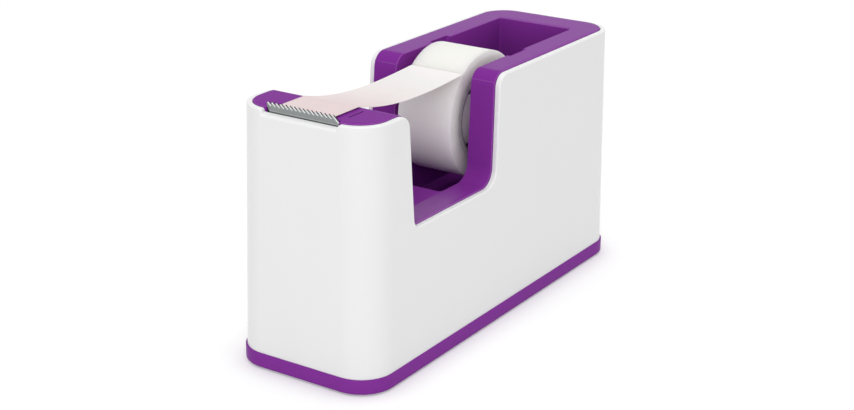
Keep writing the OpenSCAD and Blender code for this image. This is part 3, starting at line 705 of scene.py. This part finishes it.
    # Painted highlight marks: the middle of each rounded outer edge and well edge, and the crease on the lip
    painted_light = np.sin(2 * roll)[:, None]
    crease_highlight = np.where(np.abs(u_side - near(crease[1:3].mean(axis=0))) < 0.2, 1.0, 0.0)[:, None]
    marks = [0.0, 0.0, 0.0, crease_highlight, 0.0, painted_light, 0.0, 0.0, painted_light, 0.0, 0.0]
    return half + [mirrored(g) for g in half], marks * 2


def polish_mask(grid):
    """STRIP_POLISH on the notch floor's side strips, fading towards the lip, and RIM_POLISH on the rear rim."""
    x, y, z = np.abs(grid[..., 0]), grid[..., 1], grid[..., 2]
    strip = x > POCKET_HALF + POCKET_SOFT + 0.02
    low = np.clip(1 - np.abs(z - NOTCH_FLOOR) / 1.5, 0, 1)
    rim = np.clip((z - LINER_TOP) / 0.5 + 1, 0, 1) * (y > 0)
    fade = np.clip((POLISH_END - y) / POLISH_FADE, 0, 1)
    return STRIP_POLISH * strip * low * fade + RIM_POLISH * rim


def prism(outline, x0, x1):
    """A y-z outline carried from x0 to x1, closed by fans at both ends."""
    p = np.vstack([outline, outline[:1]])
    side = np.stack([np.column_stack([np.full(len(p), x), p]) for x in (x0, x1)])
    hub = np.broadcast_to(np.concatenate([[0.0], p[:-1].mean(axis=0)]), (len(p), 3))
    ends = [np.stack([row, hub * [0, 1, 1] + row * [1, 0, 0]]) for row in side]
    return [side] + ends


def axle_slot_outline():
    """Slot for a stub axle: a half circle round the reel's axis and two sides that lean back to above the rim."""
    a = np.radians(np.linspace(180, 360, 25))
    across = np.append(SLOT_R * np.cos(a), [SLOT_R, -SLOT_R])
    up = np.append(SLOT_R * np.sin(a), [SLOT_REACH, SLOT_REACH])
    c, s = np.cos(SLOT_LEAN), np.sin(SLOT_LEAN)
    return np.column_stack([REEL_Y + c * across + s * up, REEL_Z - s * across + c * up])


def carve(obj, cutters):
    """Cuts closed grids out of a piece, applied to its mesh."""
    mesh = grid_mesh("cut", cutters)
    weld(mesh)
    cutter = bpy.data.objects.new("cut", mesh)
    bpy.context.scene.collection.objects.link(cutter)
    cut = obj.modifiers.new("cut", "BOOLEAN")
    cut.operation, cut.solver, cut.object = "DIFFERENCE", "EXACT", cutter
    bpy.context.view_layer.update()
    result = bpy.data.meshes.new_from_object(obj.evaluated_get(bpy.context.evaluated_depsgraph_get()))
    obj.modifiers.clear()
    obj.data = result
    bpy.data.objects.remove(cutter)
    bpy.data.meshes.remove(mesh)


liner_patches, liner_edge_highlight = liner_grids()
inner_liner = make_piece("inner_liner_moulding", liner_patches, satin_purple, "purple_liner", "housing",
                         edge=liner_edge_highlight, polish=[polish_mask(g) for g in liner_patches])
slot = axle_slot_outline()
recess_y = BLADE_BACK_Y + RECESS_BACK
recess = np.array([[recess_y, RECESS_FOOT], [recess_y, RECESS_TOP], [RECESS_FRONT, RECESS_TOP],
                   [RECESS_FRONT, RECESS_FOOT]])
carve(inner_liner, prism(slot, POCKET_HALF - 1, POCKET_HALF + SLOT_DEPTH)
      + prism(slot, -POCKET_HALF - SLOT_DEPTH, 1 - POCKET_HALF)
      + prism(recess, -BLADE_HALF - RECESS_SIDE, BLADE_HALF + RECESS_SIDE))
finish_piece(inner_liner, satin_purple, "housing")
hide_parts("inner_liner")


def rib_grids():
    """Ribs that carry the tape: round rods along x, sunk into the tower's top and flush with it beside the tape.

    Each rod ends in a small ball on the right of the tape, painted dark as shade. The edge mask is 1 on the balls.
    """
    a = np.linspace(0, 2 * np.pi, 13)
    y = LANDING_Y - RIB_FIRST - RIB_PITCH * np.arange(RIBS)

    def turned(x, radius, z, y0):
        """Rings of the given radius and height along x."""
        x, radius, z = (np.asarray(v, float)[:, None] for v in (x, radius, z))
        ring_y, ring_z = y0 + radius * np.cos(a), LINER_TOP + z + radius * np.sin(a)
        return np.stack(np.broadcast_arrays(x, ring_y, ring_z), axis=-1)

    r, end = RIB_R, RIB_END - RIB_TIP
    sunk, clear = 0.02, 0.3
    low, high = -r - sunk, RIB_RISE - r - sunk
    x = [-TAPE_HALF - clear, -TAPE_HALF - clear, clear - TAPE_HALF, TAPE_HALF - clear, TAPE_HALF + clear, end, end]
    rod = [turned(x, [0, r, r, r, r, r, 0], [low, low, high, high, low, low, low], y0) for y0 in y]
    pole = np.radians(np.linspace(0, 180, 9))
    ball = [turned(end - RIB_TIP * np.cos(pole), RIB_TIP * np.sin(pole), 0 * pole, y0) for y0 in y]
    return rod + ball, [0.0] * len(rod) + [1.0] * len(ball)


rib_patches, rib_end_shade = rib_grids()
make_piece("landing_ribs", rib_patches, rib_purple, "purple_liner", "housing", edge=rib_end_shade)


def base_grids():
    """Base tray: one section carried round the rounded plan, closed to the middle by its floor."""
    bottom_edge = arc((PAD_INSET, BASE_BOTTOM), (0, BASE_BOTTOM), (0, BASE_TOP), BASE_FOOT_R, 5)
    top_edge = arc((0, BASE_BOTTOM), (0, BASE_TOP), (UPSTAND_OUT, BASE_TOP), BASE_TOP_R, 5)
    upstand = [[UPSTAND_OUT, BASE_TOP], [UPSTAND_OUT, BASE_TOP + UPSTAND_H], [UPSTAND_IN, BASE_TOP + UPSTAND_H],
               [UPSTAND_IN, TRAY_FLOOR]]
    section = np.vstack([[[PAD_INSET, PAD_CEILING], [PAD_INSET, BASE_BOTTOM]], bottom_edge, top_edge, upstand])
    s = dense([[0.0, 0.0], [base_plan.total, 0.0]], 1.0)[:, 0]
    band = np.stack([base_plan(s, z, d) for d, z in section])
    half = [band, plate(band[0]), plate(band[-1])]
    return half + [mirrored(g) for g in half]


base_patches = base_grids()
base_tray = make_piece("base_tray_moulding", base_patches, satin_purple, "purple_base", "housing",
                       polish=[BASE_POLISH] * len(base_patches))
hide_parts("base_tray")


def hub_profile(side):
    """Outline of a hub half in x and radius: drum, rounded face and chamfered stub axle."""
    outline = [(0.1, 0.0), (0.1, HUB_R - 1.5), (0.1, HUB_R), (HUB_FACE - 0.6, HUB_R), (HUB_FACE - 0.4, HUB_R - 0.1),
               (HUB_FACE - 0.1, HUB_R - 0.35), (HUB_FACE, HUB_R - 0.7), (HUB_FACE, AXLE_R + 0.3),
               (HUB_FACE + 0.3, AXLE_R), (AXLE_END - 0.6, AXLE_R), (AXLE_END - 0.2, AXLE_R - 0.2),
               (AXLE_END, AXLE_R - 0.6), (AXLE_END, 0.0)]
    return np.array(outline) * [side, 1]


def hub_grid(side):
    """Hub half: the turned profile with its top and bottom flattened at HUB_FLAT, less a chamfer at the face."""
    grid = lathe(hub_profile(side))
    flat = HUB_FLAT - np.clip(np.abs(grid[..., 0]) - HUB_FACE + 0.5, 0, 0.5)
    grid[..., 2] = REEL_Z + np.clip(grid[..., 2] - REEL_Z, -flat, flat)
    return [grid]


# Mask for the painted shade: 1 on the drum inside the core's bore
hub_gap_shade = np.where(hub_profile(1)[:, 1:] > HUB_R - 0.05, 1.0, 0.0)
hub_right = make_piece("hub_right_half", hub_grid(1), hub_grey, "hub_plastic", "reel", edge=[hub_gap_shade])
hub_left = make_piece("hub_left_half", hub_grid(-1), hub_grey, "hub_plastic", "reel", edge=[hub_gap_shade])
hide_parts("hub_right")
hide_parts("hub_left")


def ring_section(inner, outer, half, r):
    """Section of a ring in x and radius: a rectangle with rounded corners."""
    return softened([(-half, inner), (half, inner), (half, outer), (-half, outer)], r)


core_section = ring_section(CORE_BORE, CORE_R, TAPE_HALF, CORE_SOFT)
# Mask for the painted shade: 1 on the bore and its rounded corners
core_bore_shade = np.where(core_section[:, 1:] < CORE_BORE + CORE_SOFT + 0.01, 1.0, 0.0)
tape_core = make_piece("tape_core_ring", [lathe(core_section)], core_white, "core_plastic", "reel", edge=[core_bore_shade])
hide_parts("tape_core")
winding_section = ring_section(CORE_R + 0.05, ROLL_R, TAPE_HALF, ROLL_SOFT)
tape_winding = make_piece("tape_winding_roll", [lathe(winding_section, 192)], film_white, "tape_film", "reel")
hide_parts("tape_winding")


def tail_grid():
    """Free tape: a flat strip carried along a cubic curve from the roll to the tower and straight on to the blade.

    It begins as a feather edge on the roll. The mask, for the tape's painted see-through tint, runs from 0 at the
    roll to 1 on the tower.
    """
    r = ROLL_R + 0.02
    peel = np.array([REEL_Y - r * np.sin(PEEL_ANGLE), REEL_Z + r * np.cos(PEEL_ANGLE)])
    land = np.array([LANDING_Y, TAIL_Z])
    arm = (peel[0] - land[0]) / 3
    a, b = peel - arm * np.array([1, np.tan(PEEL_SLOPE)]), land + arm * np.array([1, -np.tan(LANDING_SLOPE)])
    t = np.linspace(0, 1, 49)[:, None]
    curve = (1 - t) ** 3 * peel + 3 * (1 - t) ** 2 * t * a + 3 * (1 - t) * t ** 2 * b + t ** 3 * land
    flat_y = np.linspace(LANDING_Y - 0.5, TAIL_END_Y, 14)
    path = np.vstack([curve, np.column_stack([flat_y, np.full(len(flat_y), TAIL_Z)])])
    normal = left_normals(path)
    half = TAIL_T / 2 * np.clip(0.15 + length_along(path) / TAIL_FEATHER, 0, 1)[:, None]
    x = np.linspace(-TAPE_HALF, TAPE_HALF, 13)
    sheet = lambda p: np.stack(np.broadcast_arrays(x[None, :], p[:, None, 0], p[:, None, 1]), axis=-1)
    top, low = sheet(path - half * normal), sheet(path + half * normal)
    wrap = np.concatenate([top, low[:, ::-1], top[:, :1]], axis=1)
    on = np.clip((peel[0] - path[:, :1]) / (peel[0] - LANDING_Y), 0, 1)
    return [wrap, np.stack([top[0], low[0]]), np.stack([top[-1], low[-1]])], [on, 0.0, 1.0]


tail_patches, tail_see_through = tail_grid()
tape_tail = make_piece("tape_tail_strip", tail_patches, tail_film, "tape_film", "free_tape", edge=tail_see_through)
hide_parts("tape_tail")


def mark_facet_shading(obj):
    """Face attribute: the kind of each face, which picks its tone of painted light.

    1 is a sloping flank, painted bright as a highlight, 0.5 the strip below the bend, painted lighter than the
    band,
    0.25 its foot, painted dark as shade, 0 the toothed band, and -0.5 a flank's heel and the steep side of a tooth,
    painted dark as shade.
    """
    mesh = obj.data
    normal, centre = np.empty(3 * len(mesh.polygons)), np.empty(3 * len(mesh.polygons))
    mesh.polygons.foreach_get("normal", normal)
    mesh.polygons.foreach_get("center", centre)
    turn = normal.reshape(-1, 3)[:, 0]
    y, z = centre.reshape(-1, 3)[:, 1:].T / MM
    facet_shading = np.where(z < BLADE_BEND, np.where(z < BLADE_DARK, 0.25, 0.5), 0.0)
    # Painted shade on the heel strip behind each flank and on the steep sides; painted highlight on the flanks
    heel = y > BLADE_BACK_Y - (z - BLADE_BEND) * np.tan(BLADE_LEAN) - HEEL * BLADE_T
    facet_shading[turn > 0.3] = 1.0
    facet_shading[(turn < -0.3) | ((turn > 0.3) & heel)] = -0.5
    mesh.attributes.new("facet_shading", "FLOAT", "FACE").data.foreach_set("value", facet_shading.astype(np.float32))


def blade_grid():
    """Cutter: a bent strip section carried across the teeth, its top edge rising and falling with them.

    The last flank runs on down to the right end, and below the teeth the left end is set back by BLADE_STEP.
    """
    k = np.arange(2 * TEETH + 1)
    x = TEETH_FROM + TOOTH_PITCH / 2 * (k + (k % 2) * (2 * TIP_LEAN - 1))
    top = BLADE_VALLEY + TOOTH_H * (k % 2)
    top[-1] -= (BLADE_HALF - x[-1]) * TOOTH_H / (TOOTH_PITCH * (1 - TIP_LEAN))
    x[-1] = BLADE_HALF
    strip_x = x + BLADE_STEP * (k == 0)
    lean = np.tan(BLADE_LEAN)

    def row(z, front):
        """Points at height z, front plate thicknesses in front of the back face."""
        z = np.broadcast_to(z, x.shape)
        return np.column_stack([np.where(z > BLADE_BEND, x, strip_x),
                                BLADE_BACK_Y - np.maximum(z - BLADE_BEND, 0) * lean - front * BLADE_T, z])

    # The rows at BLADE_DARK and at HEEL split the faces where the painted shade begins
    levels = [BLADE_FOOT, BLADE_DARK, BLADE_BEND, np.minimum(BLADE_VALLEY, top), top]
    grid = np.stack([row(z, 1) for z in levels]
                    + [row(top, HEEL), row(top, TOOTH_BACK), row(levels[3], TOOTH_BACK)]
                    + [row(z, 0) for z in levels[2::-1]] + [row(BLADE_FOOT, 1)])

    # Rows that close each end: across the strip below the bend, and from the tooth's top down to the bend
    caps = ([[0, 1, 2], [10, 9, 8]], [[4, 5, 6], [2, 8, 8]])
    return [grid] + [grid[cap, end] for end in (0, -1) for cap in caps]


cutter_blade = make_piece("cutter_blade_strip", blade_grid(), bare_steel, "blade_steel", "housing", sharp=8.0)
mark_facet_shading(cutter_blade)
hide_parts("cutter_blade")


# Solids that are shown as the source has them
for name, material in (("grip_pad", pad_grey), ("ballast_block", ballast_steel), ("base_screws", screw_zinc)):
    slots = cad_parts[name].data.materials
    slots.clear()
    slots.append(material)


def background_rays(nodes):
    """1 for the rays that show the background: camera, glossy and transmission rays."""
    path = nodes.new("ShaderNodeLightPath").outputs
    seen = calc(nodes, "MAXIMUM", path["Is Camera Ray"], path["Is Glossy Ray"])
    return calc(nodes, "MAXIMUM", seen, path["Is Transmission Ray"])


def stage_floor(size=6.0, tone=0.88, glow=0.2):
    """Large pale floor that keeps the shadow, lifted to white for the rays that show the background."""
    mesh = bpy.data.meshes.new("studio_floor")
    mesh.from_pydata([(-size, -size, 0), (size, -size, 0), (size, size, 0), (-size, size, 0)], [], [(0, 1, 2, 3)])
    mat, n, link, bsdf = new_material("pale_floor", Roughness=0.9)
    bsdf.inputs["Base Color"].default_value = (tone, tone, tone, 1)
    bsdf.inputs["Emission Color"].default_value = (1, 1, 1, 1)
    link(calc(n, "MULTIPLY", background_rays(n), glow), bsdf.inputs["Emission Strength"])
    mesh.materials.append(mat)
    floor = bpy.data.objects.new("studio_floor", mesh)
    bpy.context.scene.collection.objects.link(floor)


def studio_world(level):
    """Even white surroundings at a plain level, white for the rays that show the background."""
    world = bpy.data.worlds.new("studio")
    world.use_nodes = True
    n = world.node_tree.nodes
    strength = add(n, "ShaderNodeMix", data_type="FLOAT", Factor=background_rays(n), A=level, B=1.0)
    n["Background"].inputs["Color"].default_value = (1, 1, 1, 1)
    world.node_tree.links.new(strength.outputs["Result"], n["Background"].inputs["Strength"])
    bpy.context.scene.world = world


def soft_lamp(name, place, target, size, watts):
    """Square area lamp at place, turned towards target."""
    light = bpy.data.lights.new(name, "AREA")
    light.shape, light.size, light.energy = "SQUARE", size, watts
    lamp = bpy.data.objects.new(name, light)
    lamp.location = place
    aim = np.array(target) - np.array(place)
    tilt, turn = np.arctan2(np.hypot(aim[0], aim[1]), -aim[2]), np.arctan2(aim[1], aim[0]) - np.pi / 2
    lamp.rotation_euler = (tilt, 0, turn)
    bpy.context.scene.collection.objects.link(lamp)


def photo_camera():
    """Camera at the photograph's angle and distance."""
    cam = bpy.data.cameras.new("photo_camera")
    cam.sensor_width, cam.lens = 36.0, 69.06
    cam.clip_start, cam.clip_end = 0.01, 20.0
    obj = bpy.data.objects.new("photo_camera", cam)
    obj.location = (0.26452, -0.41399, 0.21241)
    turn, tilt, roll = np.radians([33.01, 90 - 20.137, 0.661])
    obj.rotation_euler = (Matrix.Rotation(turn, 3, "Z") @ Matrix.Rotation(tilt, 3, "X")
                          @ Matrix.Rotation(roll, 3, "Z")).to_euler()
    bpy.context.scene.collection.objects.link(obj)
    bpy.context.scene.camera = obj


stage_floor()
studio_world(0.69)
soft_lamp("key", (0.5, -0.9, 0.42), (0, 0, 0.04), size=0.6, watts=3.1)
soft_lamp("top", (0.0, 0.1, 1.1), (0, 0, 0.04), size=0.8, watts=3.0)
photo_camera()
bpy.context.scene.view_settings.view_transform = "Standard"
